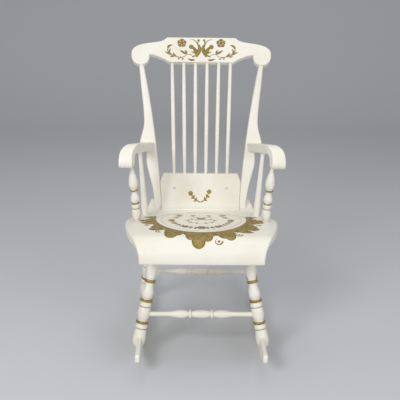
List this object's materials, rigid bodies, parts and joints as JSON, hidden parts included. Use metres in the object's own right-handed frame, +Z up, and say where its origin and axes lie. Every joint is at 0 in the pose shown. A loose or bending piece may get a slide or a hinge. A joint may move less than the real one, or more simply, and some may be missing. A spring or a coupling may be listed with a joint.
{
  "type": "boston rocking chair",
  "caption": "Painted wooden rocking chair with a rolled seat, rolled arms, turned legs, a spindle back and a shaped crest rail.",
  "frame": {"origin": "on the floor, midway between the front and rear ends of the rockers and between the two rockers", "axes": "+Z up, -Y the way that a sitter faces, +X to the sitter's left"},
  "size_m": [0.5644, 0.804, 1.0561],
  "materials": {
    "cream_painted_wood": "aged satin cream paint",
    "bare_birch": "bare dry wood"
  },
  "bodies": {
    "root": {"rocker_left": "cream_painted_wood", "rocker_right": "cream_painted_wood", "leg_front_left": "cream_painted_wood", "leg_front_right": "cream_painted_wood", "leg_rear_left": "cream_painted_wood", "leg_rear_right": "cream_painted_wood", "stretcher_front": "cream_painted_wood", "stretcher_rear": "cream_painted_wood", "stretcher_side_left": "cream_painted_wood", "stretcher_side_right": "cream_painted_wood", "seat_front_roll": "cream_painted_wood", "seat_board": "cream_painted_wood", "seat_rear_rise": "cream_painted_wood", "back_post_left": "cream_painted_wood", "back_post_right": "cream_painted_wood", "back_board": "cream_painted_wood", "back_spindle_1": "cream_painted_wood", "back_spindle_2": "cream_painted_wood", "back_spindle_3": "cream_painted_wood", "back_spindle_4": "cream_painted_wood", "back_spindle_5": "cream_painted_wood", "back_spindle_6": "cream_painted_wood", "crest_rail": "cream_painted_wood", "arm_left": "cream_painted_wood", "arm_right": "cream_painted_wood", "arm_post_left": "cream_painted_wood", "arm_post_right": "cream_painted_wood", "arm_spindle_left": "cream_painted_wood", "arm_spindle_right": "cream_painted_wood", "post_plugs": "cream_painted_wood", "arm_dowels": "bare_birch", "rocker_pins": "bare_birch", "seat_dowels": "bare_birch", "spindle_lock_pins": "bare_birch"}
  },
  "joints": []
}
